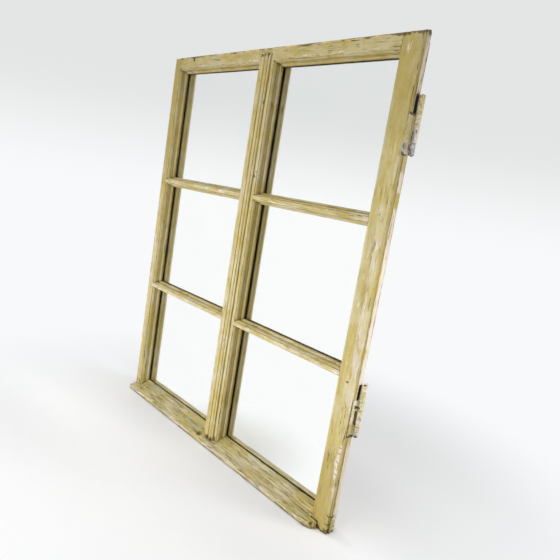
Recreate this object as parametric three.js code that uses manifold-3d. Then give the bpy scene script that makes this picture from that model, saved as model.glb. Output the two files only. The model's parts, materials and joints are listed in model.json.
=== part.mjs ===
// A casement window sash: moulded stiles, rails, mullion and glazing bars, mortised and
// tenoned together, six mirror panes bedded in the rebates behind glazing beads, a weather
// slope along the foot, and two butt hinges on the outer edge of the hanging stile.
//
// Millimetres. X runs from the meeting stile to the hanging stile, Y from the moulded
// front to the back, Z up. The front face of the frame is drawn at y = 0.
import * as THREE from 'three';
import { mergeVertices } from 'three/addons/utils/BufferGeometryUtils.js';
import Module from 'manifold-3d';

const wasm = await Module();
wasm.setup();

// ---- Driving dimensions -------------------------------------------------------------

// Frame members, measured on the flat front face between the arrises.
const meetingStileFace = 28.5;
const hangingStileFace = 52.5;
const mullionFace = 61;
const topRailFace = 33.5;
const barFace = 11;
const paneOpening = 419;
const sashThickness = 45;

// Sight heights of the three rows of panes.
const lowerPaneHeight = 341.5;
const middlePaneHeight = 337;
const upperPaneHeight = 345;

// The moulding round each pane: two quirks and two ovolos, each as depth (along Y) and
// run (towards the pane).
const firstQuirk = { depth: 4, run: 1.2 };
const firstOvolo = { depth: 13, run: 3.8 };
const secondQuirk = { depth: 4, run: 1.4 };
const secondOvolo = { depth: 10.5, run: 4.6 };
const ovoloFacets = 5;

// Rebates: for the glass at the back of each opening, and round the outside of the sash.
const glassRebate = 8;
const lipDepth = 28;
const lipOverhang = 12;
const meetingLap = 14;
const meetingRebateDepth = 18;

// The shallow cove along the outer edge of the hanging stile.
const edgeCove = { from: 1.5, width: 9.5, depth: 2 };
const coveFacets = 4;

// The weather slope that is worked on the bottom rail. Its curve leaves the glass at
// slopeTop and meets the nose at slopeFoot, with the run and drop of its tangent at each.
const slopeTop = 40;
const slopeStart = { run: 14.5, drop: 11 };
const slopeFoot = { y: -16, z: 15.6 };
const slopeEnd = { run: 20, drop: 3.9 };
const noseReach = 25.5;
const noseThickness = 7;
const noseShoulder = { inset: 2, drop: 1 };
const noseUndercut = 3.5;
const noseOntoHangingStile = 22.5;
const noseEndRun = 40;
const dripGroove = { y: -11, radius: 3 };
const slopeFacets = 10;

// The reeded cover strip planted on the mullion.
const coverWidth = 39;
const coverStepWidth = 7;
const coverStepHeight = 5.5;
const coverQuirkWidth = 1.6;
const coverQuirkFloor = 4;
const coverHeight = 9;
const coverChamfer = 1.5;
const coverReedGroove = 3.4;
const coverTopMargin = 15;

// Joinery.
const tenonThickness = 12;
const railTenonLength = 30;
const barTenonLength = 12;
const mullionTenonLength = 20;
const tenonShoulder = 6;
const pegDiameter = 7;
const pegStop = 8;
const pegFacets = 16;
const jointGap = 0.3;

// Panes and the beads that hold them.
const glassThickness = 5;
const glassEdgeGap = 1;
const glassArris = 0.5;
const beadWidth = 7;
const beadFlat = 2;

// Hinges.
const hingeLength = 130;
const upperHingeFromTop = 190;
const lowerHingeFromFoot = 322;
const leafWidth = 22;
const leafThickness = 2.5;
const leafProud = 0.7;
const leafCorner = 2;
const barrelDiameter = 13;
const pinDiameter = 6;
const pinDome = 1.5;
const knuckleOutset = 7.5;
const knuckleShares = [41, 22, 40, 27];
const leafInnerEdge = 1.5;
const crank = { from: 3, to: 8 };
const knucklePocket = { reach: 12, depth: 11 };
const roundFacets = 24;
const cornerFacets = 3;
const screwHead = 7;
const screwShank = 3.6;
const screwLength = 18;
const screwInset = 13;
const screwSlot = { width: 0.9, depth: 0.8 };

// How far a cutter runs past what it cuts.
const overcut = 1;

// ---- Worked out from them -----------------------------------------------------------

const mouldDepth = firstQuirk.depth + firstOvolo.depth + secondQuirk.depth + secondOvolo.depth;
const mouldRun = firstQuirk.run + firstOvolo.run + secondQuirk.run + secondOvolo.run;
const barBack = barFace + 2 * mouldRun;

const meetingArris = meetingStileFace;
const mullionLeft = meetingArris + paneOpening;
const mullionRight = mullionLeft + mullionFace;
const mullionCentre = (mullionLeft + mullionRight) / 2;
const hangingArris = mullionRight + paneOpening;
const outerEdge = hangingArris + hangingStileFace;

const lowerBar = slopeTop + lowerPaneHeight + barBack / 2;
const upperBar = lowerBar + barBack + middlePaneHeight;
const topSight = upperBar + barBack / 2 + upperPaneHeight;
const topArris = topSight + mouldRun;
const sashHeight = topArris + topRailFace;

const columns = [
  { name: 'left', from: meetingArris, to: mullionLeft },
  { name: 'right', from: mullionRight, to: hangingArris },
];
const rows = [
  { name: 'lower', from: slopeTop, to: lowerBar - barBack / 2 },
  { name: 'middle', from: lowerBar + barBack / 2, to: upperBar - barBack / 2 },
  { name: 'upper', from: upperBar + barBack / 2, to: topSight },
];
const bars = [
  { name: 'lower', z: lowerBar },
  { name: 'upper', z: upperBar },
];

// Tenons lie just in front of the glass rebate.
const tenonY = [mouldDepth - tenonThickness, mouldDepth];
const topTenonZ = [topArris + tenonShoulder, sashHeight - lipOverhang];
const footTenonZ = [tenonShoulder, slopeTop - glassRebate - tenonShoulder];
const barTenonHalf = barFace / 2 - jointGap;
const mullionTenonX = [mullionLeft + 2 * tenonShoulder, mullionRight - 2 * tenonShoulder];

const glassFront = mouldDepth + jointGap;
const beadFront = glassFront + glassThickness + jointGap;
const beadDepth = sashThickness - beadFront;

const pinX = outerEdge + knuckleOutset;
const pinY = lipDepth;
const barrelRadius = barrelDiameter / 2;
const hinges = [
  { name: 'upper', z: sashHeight - upperHingeFromTop },
  { name: 'lower', z: lowerHingeFromFoot },
];

// ---- Materials ----------------------------------------------------------------------

const material = (color, roughness, metalness) =>
  new THREE.MeshStandardMaterial({ color, roughness, metalness });
const paintedWood = material('#cbb983', 0.72, 0);
const bareWood = material('#a98558', 0.8, 0);
const mirrorGlass = material('#eceeec', 0.04, 1);
const paintedIron = material('#b9aa7c', 0.6, 0.3);
const bareIron = material('#6d6a66', 0.45, 0.9);

// ---- Solids -------------------------------------------------------------------------

// A closed geometry as a manifold solid, and back again.
function solid(geometry) {
  const bare = geometry.clone();
  bare.deleteAttribute('normal');
  bare.deleteAttribute('uv');
  const merged = mergeVertices(bare, 1e-4);
  return new wasm.Manifold(new wasm.Mesh({
    numProp: 3,
    vertProperties: Float32Array.from(merged.attributes.position.array),
    triVerts: Uint32Array.from(merged.index.array),
  }));
}

function geometryOf(body) {
  const mesh = body.getMesh();
  const geometry = new THREE.BufferGeometry();
  geometry.setAttribute('position', new THREE.BufferAttribute(mesh.vertProperties, 3));
  geometry.setIndex(new THREE.BufferAttribute(mesh.triVerts, 1));
  geometry.computeVertexNormals();
  return geometry;
}

// An outline of [u, v] points, extruded from w0 to w1 along the third axis.
function prism(points, w0, w1, basis) {
  const shape = new THREE.Shape(points.map(([u, v]) => new THREE.Vector2(u, v)));
  const geometry = new THREE.ExtrudeGeometry(shape, { depth: w1 - w0, bevelEnabled: false });
  geometry.translate(0, 0, w0);
  geometry.applyMatrix4(basis);
  return solid(geometry);
}

const axisX = new THREE.Vector3(1, 0, 0);
const axisY = new THREE.Vector3(0, 1, 0);
const axisZ = new THREE.Vector3(0, 0, 1);
const alongX = new THREE.Matrix4().makeBasis(axisY, axisZ, axisX);
const alongY = new THREE.Matrix4().makeBasis(axisZ, axisX, axisY);
const alongZ = new THREE.Matrix4();

// [y, z] outlines along X, [x, z] outlines along Y and [x, y] outlines along Z.
const prismX = (points, x0, x1) => prism(points, x0, x1, alongX);
const prismY = (points, y0, y1) => prism(points.map(([x, z]) => [z, x]), y0, y1, alongY);
const prismZ = (points, z0, z1) => prism(points, z0, z1, alongZ);

function block([x0, x1], [y0, y1], [z0, z1]) {
  const geometry = new THREE.BoxGeometry(x1 - x0, y1 - y0, z1 - z0);
  return solid(geometry.translate((x0 + x1) / 2, (y0 + y1) / 2, (z0 + z1) / 2));
}

const span = (a, b) => [Math.min(a, b), Math.max(a, b)];
const grown = ([low, high], by = jointGap) => [low - by, high + by];
const subtractAll = (body, cutters) => cutters.reduce((rest, cut) => rest.subtract(cut), body);
const addAll = (body, others) => others.reduce((sum, other) => sum.add(other), body);

// A cutter through the whole thickness of the sash.
const through = (points) => prismY(points, -coverHeight - noseReach, 2 * sashThickness);

// ---- Moulding -----------------------------------------------------------------------

// A quarter-ellipse bulge from [run, depth], facing forward, to where it faces sideways.
function ovolo(from, size) {
  return Array.from({ length: ovoloFacets }, (_, i) => {
    const angle = (Math.PI / 2) * (i + 1) / ovoloFacets;
    return [
      from[0] + size.run * Math.sin(angle),
      from[1] + size.depth * (1 - Math.cos(angle)),
    ];
  });
}

// The moulding as [run, depth] points, from the arris back to the glass.
function mouldingLine() {
  const line = [[0, 0], [0, firstQuirk.depth], [firstQuirk.run, firstQuirk.depth]];
  line.push(...ovolo(line.at(-1), firstOvolo));
  const [run, depth] = line.at(-1);
  const quirkFloor = depth + secondQuirk.depth;
  line.push([run, quirkFloor], [run + secondQuirk.run, quirkFloor]);
  line.push(...ovolo(line.at(-1), secondOvolo));
  return line;
}

// One moulded side of an upright member, as [x, y] from the arris to the back face;
// side is the direction of the pane, +1 or -1.
function mouldedSide(arris, side) {
  const line = mouldingLine().map(([run, depth]) => [arris + side * run, depth]);
  const rebateWall = arris + side * (mouldRun - glassRebate);
  return [...line, [rebateWall, mouldDepth], [rebateWall, sashThickness]];
}

// ---- The joints between members -----------------------------------------------------

const mitreReach = mouldRun + overcut;

// What an upright member gives up where a horizontal one, with its arrises at zLow and
// zHigh, is mitred into its moulding.
function mitreNotch(arris, side, zLow, zHigh) {
  const far = arris + side * mitreReach;
  return through([
    [arris, zLow], [far, zLow - mitreReach], [far, zHigh + mitreReach], [arris, zHigh],
  ]);
}

// The corner of a horizontal member's moulding beyond its mitre line.
function mitreOff(x, side, z, up) {
  return through([
    [x - side, z], [x, z], [x + side * mitreReach, z + up * mitreReach],
    [x - side, z + up * mitreReach],
  ]);
}

// The weather slope and nose as [y, z], raised by lift.
function slopeLine(lift = 0) {
  const line = new THREE.Path();
  const front = -noseReach;
  line.moveTo(mouldDepth, slopeTop + lift);
  line.bezierCurveTo(
    mouldDepth - slopeStart.run, slopeTop - slopeStart.drop + lift,
    slopeFoot.y + slopeEnd.run, slopeFoot.z + slopeEnd.drop + lift,
    slopeFoot.y, slopeFoot.z + lift,
  );
  line.quadraticCurveTo(
    front + noseShoulder.inset, slopeFoot.z - noseShoulder.drop + lift,
    front, noseThickness + lift,
  );
  line.quadraticCurveTo(front, lift, front + noseUndercut, lift);
  return line.getPoints(slopeFacets).map((point) => [point.x, point.y]);
}

// The whole section of the bottom rail, from the nose back to the rear face.
const footSection = () => [
  ...slopeLine(),
  [sashThickness, 0],
  [sashThickness, slopeTop - glassRebate],
  [mouldDepth, slopeTop - glassRebate],
];

// Room for the bottom rail under an upright member that is scribed over its slope.
function slopeRoom(x0, x1) {
  const back = sashThickness + overcut;
  const rebateFloor = slopeTop - glassRebate + jointGap;
  return prismX([
    ...slopeLine(jointGap),
    [-noseReach + noseUndercut, -overcut],
    [back, -overcut],
    [back, rebateFloor],
    [mouldDepth, rebateFloor],
  ], x0, x1);
}

// The rebate round the top edge of the sash, behind its lip.
function topRebate() {
  return block(
    [-2 * meetingLap, outerEdge + lipOverhang],
    [lipDepth, sashThickness + overcut],
    [sashHeight - lipOverhang, sashHeight + overcut],
  );
}

// ---- Pegs ---------------------------------------------------------------------------

// Where each joint is pegged, from the back of the sash.
const footPegZ = (footTenonZ[0] + footTenonZ[1]) / 2;
const topPegZ = (topTenonZ[0] + topTenonZ[1]) / 2;
const pegs = [
  { name: 'peg_top_left', x: meetingArris - railTenonLength / 2, z: topPegZ },
  { name: 'peg_top_right', x: hangingArris + railTenonLength / 2, z: topPegZ },
  { name: 'peg_foot_left', x: meetingArris - railTenonLength / 2, z: footPegZ },
  { name: 'peg_foot_right', x: hangingArris + railTenonLength / 2, z: footPegZ },
  { name: 'peg_mullion_top', x: mullionCentre, z: topPegZ },
  { name: 'peg_mullion_foot', x: mullionCentre, z: footPegZ },
];

function pegGeometry(radius, front, back) {
  const geometry = new THREE.CylinderGeometry(radius, radius, back - front, pegFacets);
  return geometry.translate(0, (front + back) / 2, 0);
}

// Every peg hole, as one list of cutters.
function pegHoles() {
  const hole = pegGeometry(pegDiameter / 2 + jointGap, pegStop - jointGap,
    sashThickness + overcut);
  return pegs.map(({ x, z }) => solid(hole.clone().translate(x, 0, z)));
}

// ---- Frame members ------------------------------------------------------------------

// Mortises and mitre notches that the two bars make in one side of an upright.
function barSeats(arris, side) {
  return bars.flatMap(({ z }) => [
    mitreNotch(arris, side, z - barFace / 2, z + barFace / 2),
    block(
      grown(span(arris, arris - side * barTenonLength)),
      grown(tenonY),
      grown([z - barTenonHalf, z + barTenonHalf]),
    ),
  ]);
}

// Mortises and mitre notches that the rails make in one side of a stile.
function railSeats(arris, side) {
  const x = grown(span(arris, arris - side * railTenonLength));
  return [
    mitreNotch(arris, side, topArris, sashHeight + overcut),
    block(x, grown(tenonY), grown(topTenonZ)),
    slopeRoom(...span(arris, arris + side * mitreReach)),
    block(x, grown(tenonY), grown(footTenonZ)),
  ];
}

function meetingStile() {
  const outline = [
    [0, 0],
    ...mouldedSide(meetingArris, 1),
    [-meetingLap, sashThickness],
    [-meetingLap, meetingRebateDepth],
    [0, meetingRebateDepth],
  ];
  return subtractAll(prismZ(outline, 0, sashHeight), [
    ...railSeats(meetingArris, 1),
    ...barSeats(meetingArris, 1),
    topRebate(),
    ...pegHoles(),
  ]);
}

function hangingStile() {
  const outline = [
    ...mouldedSide(hangingArris, -1).reverse(),
    [outerEdge, 0],
    ...coveLine(),
    [outerEdge, lipDepth],
    [outerEdge - lipOverhang, lipDepth],
    [outerEdge - lipOverhang, sashThickness],
  ];
  return subtractAll(prismZ(outline, 0, sashHeight), [
    ...railSeats(hangingArris, -1),
    ...barSeats(hangingArris, -1),
    topRebate(),
    ...pegHoles(),
    ...hinges.flatMap(hingeSeat),
  ]);
}

// The cove along the outer edge, from front to back.
function coveLine() {
  return Array.from({ length: coveFacets + 1 }, (_, i) => {
    const share = i / coveFacets;
    return [
      outerEdge - edgeCove.depth * 4 * share * (1 - share),
      edgeCove.from + edgeCove.width * share,
    ];
  });
}

function mullion() {
  const outline = [
    ...mouldedSide(mullionLeft, -1).reverse(),
    ...mouldedSide(mullionRight, 1),
  ];
  const shoulder = topArris - jointGap;
  const body = subtractAll(prismZ(outline, 0, shoulder), [
    slopeRoom(mullionLeft - mitreReach, mullionRight + mitreReach),
    mullionMitre(mullionLeft, -1, shoulder),
    mullionMitre(mullionRight, 1, shoulder),
    ...barSeats(mullionLeft, -1),
    ...barSeats(mullionRight, 1),
  ]);
  const topTenon = block(mullionTenonX, tenonY,
    [shoulder - overcut, topArris + mullionTenonLength]);
  const footTenon = block(mullionTenonX, tenonY, [tenonShoulder, 2 * slopeTop]);
  return subtractAll(addAll(body, [topTenon, footTenon]), pegHoles());
}

// The mullion's moulding above its mitre with the top rail.
function mullionMitre(arris, side, shoulder) {
  const far = arris + side * mitreReach;
  return through([
    [arris, shoulder], [far, shoulder - mitreReach],
    [far, shoulder + overcut], [arris, shoulder + overcut],
  ]);
}

function topRail() {
  const outline = [
    [0, sashHeight],
    ...mouldingLine().map(([run, depth]) => [depth, topArris - run]),
    [mouldDepth, topSight + glassRebate],
    [sashThickness, topSight + glassRebate],
    [sashThickness, sashHeight],
  ];
  const from = meetingArris + jointGap;
  const to = hangingArris - jointGap;
  const body = subtractAll(prismX(outline, from, to), [
    mitreOff(from, 1, topArris, -1),
    mitreOff(to, -1, topArris, -1),
    through([
      [mullionLeft, topArris], [mullionRight, topArris],
      [mullionRight + mitreReach, topArris - mitreReach],
      [mullionLeft - mitreReach, topArris - mitreReach],
    ]),
    block(grown(mullionTenonX), grown(tenonY),
      [topArris - overcut, topArris + mullionTenonLength + jointGap]),
    topRebate(),
  ]);
  return subtractAll(addAll(body, railTenons(topTenonZ)), pegHoles());
}

// The tenons at the two ends of a rail.
function railTenons(z) {
  const overlap = 2 * mouldRun;
  return [
    block([meetingArris - railTenonLength, meetingArris + overlap], tenonY, z),
    block([hangingArris - overlap, hangingArris + railTenonLength], tenonY, z),
  ];
}

// The bottom rail, with the weather slope worked on it. The nose in front of the frame
// runs on past both arrises: to the outside of the meeting stile, and part of the way
// across the hanging stile, where it is rounded back to the face.
function bottomRail() {
  const main = prismX(footSection(), meetingArris + jointGap, hangingArris - jointGap);
  const noseEnd = hangingArris + noseOntoHangingStile;
  const nose = prismX(footSection(), 0, noseEnd).intersect(nosePlan(noseEnd));
  const dripLength = noseEnd - noseEndRun;
  const drip = new THREE.CylinderGeometry(
    dripGroove.radius, dripGroove.radius, dripLength, pegFacets);
  drip.rotateZ(Math.PI / 2).translate(dripLength / 2 + noseUndercut, dripGroove.y, 0);
  const body = addAll(main.add(nose), railTenons(footTenonZ));
  return subtractAll(body, [
    solid(drip),
    block(grown(mullionTenonX), grown(tenonY), [tenonShoulder - jointGap, 2 * slopeTop]),
    ...pegHoles(),
  ]);
}

// The nose seen from above: rounded at its free corner, and swept back to the stile's
// face at its other end. It stops just in front of the stiles' faces.
function nosePlan(noseEnd) {
  const front = -noseReach - overcut;
  const sweep = noseEnd - noseEndRun;
  const plan = new THREE.Path();
  plan.moveTo(0, -jointGap);
  plan.lineTo(0, front + noseUndercut);
  plan.quadraticCurveTo(0, front, noseUndercut, front);
  plan.lineTo(sweep, front);
  plan.absellipse(sweep, -jointGap, noseEndRun, -front - jointGap, -Math.PI / 2, 0);
  const outline = plan.getPoints(slopeFacets).map((point) => [point.x, point.y]);
  return prismZ(outline, -overcut, 2 * slopeTop);
}

// A glazing bar between two arrises, at height z.
function glazingBar({ from, to }, z) {
  const half = barFace / 2;
  const front = mouldingLine();
  const rebateHalf = half + mouldRun - glassRebate;
  const upperLine = front.map(([run, depth]) => [depth, z + half + run]);
  const lowerLine = front.map(([run, depth]) => [depth, z - half - run]);
  const outline = [
    ...upperLine, [mouldDepth, z + rebateHalf], [sashThickness, z + rebateHalf],
    [sashThickness, z - rebateHalf], [mouldDepth, z - rebateHalf], ...lowerLine.reverse(),
  ];
  const [x0, x1] = [from + jointGap, to - jointGap];
  const corners = [[x0, 1], [x1, -1]].flatMap(([x, side]) => [
    mitreOff(x, side, z + half, 1),
    mitreOff(x, side, z - half, -1),
  ]);
  const tenonZ = [z - barTenonHalf, z + barTenonHalf];
  const tenons = [
    block([from - barTenonLength, from + 2 * mouldRun], tenonY, tenonZ),
    block([to - 2 * mouldRun, to + barTenonLength], tenonY, tenonZ),
  ];
  return addAll(subtractAll(prismX(outline, x0, x1), corners), tenons);
}

// The reeded strip on the mullion, as half a section from the outer edge to the middle.
function coverStrip() {
  const half = coverWidth / 2;
  const step = half - coverStepWidth;
  const reedEdge = coverReedGroove / 2;
  const reed = (step - reedEdge) / 2;
  const crown = Array.from({ length: ovoloFacets }, (_, i) => {
    const angle = Math.PI * (i + 0.5) / ovoloFacets;
    return [
      reedEdge + reed * (1 + Math.cos(angle)),
      coverQuirkFloor + (coverHeight - coverQuirkFloor) * Math.sqrt(Math.sin(angle)),
    ];
  });
  const right = [
    [half, 0], [half, coverStepHeight - coverChamfer], [half - coverChamfer, coverStepHeight],
    [step + coverQuirkWidth, coverStepHeight], [step + coverQuirkWidth, coverQuirkFloor],
    [step, coverQuirkFloor], ...crown, [reedEdge, coverQuirkFloor],
  ];
  const left = right.map(([x, h]) => [-x, h]).reverse();
  const outline = [...right, ...left].map(([x, h]) => [mullionCentre + x, -jointGap - h]);
  const top = sashHeight - coverTopMargin;
  const room = slopeRoom(mullionLeft, mullionRight);
  return prismZ(outline, 0, top).subtract(room);
}

// ---- Panes and beads ----------------------------------------------------------------

const paneSight = (column, row) => ({
  width: column.to - column.from - 2 * mouldRun,
  height: row.to - row.from,
  x: (column.from + column.to) / 2,
  z: (row.from + row.to) / 2,
});

// A sheet of silvered glass with its edges arrised.
function paneGeometry({ width, height }) {
  const inset = glassRebate - glassEdgeGap - glassArris;
  const halfWidth = width / 2 + inset;
  const halfHeight = height / 2 + inset;
  const shape = new THREE.Shape();
  shape.moveTo(-halfWidth, -halfHeight);
  shape.lineTo(halfWidth, -halfHeight);
  shape.lineTo(halfWidth, halfHeight);
  shape.lineTo(-halfWidth, halfHeight);
  const geometry = new THREE.ExtrudeGeometry(shape, {
    depth: glassThickness - 2 * glassArris,
    bevelThickness: glassArris,
    bevelSize: glassArris,
    bevelSegments: 1,
  });
  return geometry.rotateX(Math.PI / 2).translate(0, glassThickness - glassArris, 0);
}

// One glazing bead, mitred at both ends, lying with its wall side at z = 0.
function beadGeometry(length) {
  const reach = beadWidth - beadFlat;
  const depthReach = beadDepth - beadFlat;
  const round = Array.from({ length: ovoloFacets - 1 }, (_, i) => {
    const angle = (Math.PI / 2) * (i + 1) / ovoloFacets;
    return [beadFlat + depthReach * Math.cos(angle), beadFlat + reach * Math.sin(angle)];
  });
  const section = [[0, 0], [beadDepth, 0], [beadDepth, beadFlat], ...round,
    [beadFlat, beadWidth], [0, beadWidth]];
  const end = length / 2 - jointGap / 2;
  const inner = beadWidth + overcut;
  const plan = [[-end, 0], [end, 0], [end - inner, inner], [inner - end, inner]];
  const mitres = prismY(plan, -overcut, beadDepth + overcut);
  return geometryOf(prismX(section, -length, length).intersect(mitres));
}

// ---- Hinges -------------------------------------------------------------------------

// The four knuckles from the top down, as z ranges about the hinge's middle; the first
// and third belong to the frame leaf, the second and fourth to the sash leaf.
function knuckleRanges() {
  const total = knuckleShares.reduce((sum, share) => sum + share, 0);
  let top = hingeLength / 2;
  return knuckleShares.map((share) => {
    const bottom = top - hingeLength * share / total;
    const range = [bottom + jointGap, top - jointGap];
    top = bottom;
    return range;
  });
}

const sashKnuckles = () => knuckleRanges().filter((_, i) => i % 2 === 1);
const frameKnuckles = () => knuckleRanges().filter((_, i) => i % 2 === 0);

// The leaf's back and face as distances from the pin, towards the sash.
const leafBack = knuckleOutset + leafThickness - leafProud;
const leafX = [-leafBack, -leafBack + leafThickness];
const screwLine = (leafWidth + barrelRadius) / 2;

// From the foot of a leaf's lowest knuckle to the head of its highest.
const leafRange = (knuckles) => [knuckles.at(-1)[0], knuckles[0][1]];

function screwHeights(knuckles) {
  const [low, high] = leafRange(knuckles);
  return [low + screwInset, (low + high) / 2, high - screwInset];
}

function cylinderZ(radius, z0, z1) {
  const geometry = new THREE.CylinderGeometry(radius, radius, z1 - z0, roundFacets);
  return solid(geometry.rotateX(Math.PI / 2).translate(0, 0, (z0 + z1) / 2));
}

// A knuckle with the cranked tab that carries it from its leaf.
function knuckle([z0, z1]) {
  const tabX = [-barrelRadius, -barrelRadius + leafThickness];
  const root = crank.to + overcut;
  const tab = [
    [leafX[0], root], [leafX[0], crank.to], [tabX[0], crank.from], [tabX[0], 0],
    [tabX[1], 0], [tabX[1], crank.from], [leafX[1], crank.to], [leafX[1], root],
  ];
  return prismZ(tab, z0, z1).add(cylinderZ(barrelRadius, z0, z1));
}

// A leaf about the pin at the origin, reaching along +Y, with its countersinks facing +X.
// Between its own two knuckles it runs in under the other leaf's.
function hingeLeaf(knuckles) {
  const [low, high] = leafRange(knuckles);
  const corner = leafWidth - leafCorner;
  const plate = new THREE.Shape();
  plate.moveTo(crank.to, low);
  plate.lineTo(corner, low);
  plate.absarc(corner, low + leafCorner, leafCorner, -Math.PI / 2, 0);
  plate.lineTo(leafWidth, high - leafCorner);
  plate.absarc(corner, high - leafCorner, leafCorner, 0, Math.PI / 2);
  plate.lineTo(crank.to, high);
  const outline = plate.getPoints(cornerFacets).map((point) => [point.x, point.y]);
  const between = [knuckles.at(-1)[1] + jointGap, knuckles[0][0] - jointGap];
  const body = addAll(prismX(outline, ...leafX), [
    block(leafX, [leafInnerEdge, crank.to + overcut], between),
    ...knuckles.map(knuckle),
  ]);
  const boreRadius = pinDiameter / 2 + jointGap;
  const bores = knuckles.map((z) => cylinderZ(boreRadius, ...grown(z, overcut)));
  const sinks = screwHeights(knuckles).map((z) =>
    solid(countersink().translate(leafX[1], screwLine, z)));
  return subtractAll(body, [...bores, ...sinks]);
}

// The hole of one screw, opening at x = 0 and running towards -X.
function countersink() {
  const head = screwHead / 2 + jointGap;
  const shank = screwShank / 2 + jointGap;
  const profile = [
    [0, overcut], [head, overcut], [head, 0], [shank, shank - head],
    [shank, -leafThickness - overcut], [0, -leafThickness - overcut],
  ];
  return lathe(profile).rotateZ(-Math.PI / 2);
}

// A lathe about +Y from [radius, height] points that begin and end on the axis.
function lathe(profile) {
  const points = [...profile].reverse().map(([r, h]) => new THREE.Vector2(r, h));
  return new THREE.LatheGeometry(points, pegFacets);
}

// A countersunk slotted screw, its head flush at x = 0 and its point towards -X.
function screwGeometry() {
  const head = screwHead / 2;
  const shank = screwShank / 2;
  const profile = [
    [0, 0], [head, 0], [shank, shank - head], [shank, screwShank - screwLength], [0, -screwLength],
  ];
  const slot = block(
    [-screwSlot.depth, overcut],
    [-screwSlot.width / 2, screwSlot.width / 2],
    [-screwHead, screwHead],
  );
  return geometryOf(solid(lathe(profile).rotateZ(-Math.PI / 2)).subtract(slot));
}

// The pin, domed at both ends.
function pinGeometry() {
  const radius = pinDiameter / 2;
  const half = hingeLength / 2;
  const slant = Math.SQRT1_2;
  const dome = [[0, half + pinDome], [radius * slant, half + pinDome * slant], [radius, half]];
  const profile = [...dome, ...dome.map(([r, h]) => [r, -h]).reverse()];
  return lathe(profile).rotateX(Math.PI / 2);
}

// What the hanging stile gives up for one hinge: the gain for the sash leaf, the pocket
// beside the frame leaf's top knuckle, and the screws' pilot holes.
function hingeSeat({ z: centre }) {
  const at = (range) => range.map((z) => centre + z);
  const gainFloor = outerEdge - leafThickness + leafProud - jointGap;
  const gain = block(
    [gainFloor, pinX],
    [pinY - leafWidth - jointGap, lipDepth + overcut],
    grown(at(leafRange(sashKnuckles()))),
  );
  const pocket = block(
    [outerEdge - knucklePocket.depth, pinX],
    [pinY - knucklePocket.reach, lipDepth + overcut],
    grown(at(frameKnuckles()[0])),
  );
  const pilots = at(screwHeights(sashKnuckles())).map((z) => {
    const radius = screwShank / 2 + jointGap;
    const pilot = new THREE.CylinderGeometry(radius, radius, screwLength + overcut, pegFacets);
    pilot.rotateZ(Math.PI / 2);
    return solid(pilot.translate(outerEdge + leafProud - screwLength / 2, pinY - screwLine, z));
  });
  return [gain, pocket, ...pilots];
}

// ---- Assembly -----------------------------------------------------------------------

const sash = new THREE.Group();

function put(parent, name, geometry, finish, position = [0, 0, 0]) {
  const mesh = new THREE.Mesh(geometry, finish);
  mesh.name = name;
  mesh.position.set(...position);
  parent.add(mesh);
  return mesh;
}

put(sash, 'meeting_stile', geometryOf(meetingStile()), paintedWood);
put(sash, 'hanging_stile', geometryOf(hangingStile()), paintedWood);
put(sash, 'mullion', geometryOf(mullion()), paintedWood);
put(sash, 'top_rail', geometryOf(topRail()), paintedWood);
put(sash, 'bottom_rail', geometryOf(bottomRail()), paintedWood);
put(sash, 'mullion_cover_strip', geometryOf(coverStrip()), paintedWood);

for (const column of columns) {
  for (const bar of bars) {
    put(sash, `${bar.name}_bar_${column.name}`, geometryOf(glazingBar(column, bar.z)), paintedWood);
  }
}

for (const peg of pegs) {
  const geometry = pegGeometry(pegDiameter / 2, pegStop, sashThickness);
  put(sash, peg.name, geometry, bareWood, [peg.x, 0, peg.z]);
}

// Each pane with its four beads. A bead is drawn lying on the rebate's floor, and a
// quarter turn at a time takes it round the other three sides.
function addPane(column, row) {
  const sight = paneSight(column, row);
  const label = `${row.name}_${column.name}`;
  put(sash, `mirror_${label}`, paneGeometry(sight), mirrorGlass, [sight.x, glassFront, sight.z]);
  const reach = glassRebate - jointGap;
  const halfWidth = sight.width / 2 + reach;
  const halfHeight = sight.height / 2 + reach;
  const sides = [
    { name: 'foot', length: 2 * halfWidth, x: 0, z: -halfHeight },
    { name: 'west', length: 2 * halfHeight, x: -halfWidth, z: 0 },
    { name: 'head', length: 2 * halfWidth, x: 0, z: halfHeight },
    { name: 'east', length: 2 * halfHeight, x: halfWidth, z: 0 },
  ];
  sides.forEach((side, quarter) => {
    const place = [sight.x + side.x, beadFront, sight.z + side.z];
    const bead = put(sash, `bead_${label}_${side.name}`, beadGeometry(side.length), bareWood, place);
    bead.rotation.y = quarter * Math.PI / 2;
  });
}

for (const row of rows) {
  for (const column of columns) {
    addPane(column, row);
  }
}

// Each hinge hangs in a group at its pin, opened flat: the sash leaf reaches forward over
// the lip of the stile, and the frame leaf reaches back.
function addHinge({ name, z }) {
  const hinge = new THREE.Group();
  hinge.position.set(pinX, pinY, z);
  sash.add(hinge);
  const sashLeaf = hingeLeaf(sashKnuckles()).mirror([0, 1, 0]);
  put(hinge, `${name}_hinge_sash_leaf`, geometryOf(sashLeaf), paintedIron);
  put(hinge, `${name}_hinge_frame_leaf`, geometryOf(hingeLeaf(frameKnuckles())), paintedIron);
  put(hinge, `${name}_hinge_pin`, pinGeometry(), bareIron);
  screwHeights(sashKnuckles()).forEach((height, i) => {
    const place = [leafX[1], -screwLine, height];
    put(hinge, `${name}_hinge_screw_${i + 1}`, screwGeometry(), bareIron, place);
  });
}

hinges.forEach(addHinge);

// The origin is on the ground under the middle of the sash, hinges and nose included.
const halfReach = (-meetingLap + pinX + barrelRadius) / 2;
const halfDepth = (-noseReach + pinY + leafWidth) / 2;
sash.position.set(-halfReach, -halfDepth, 0);

const group = new THREE.Group();
group.add(sash);

export default group;
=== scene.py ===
# The looks of an old casement sash: worn, brush-painted timber, silvered panes and two
# chipped hinges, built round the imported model. Metres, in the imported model's own frame:
# +X to the hanging stile, +Y to the back, +Z up.
import itertools
import json
import math

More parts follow.
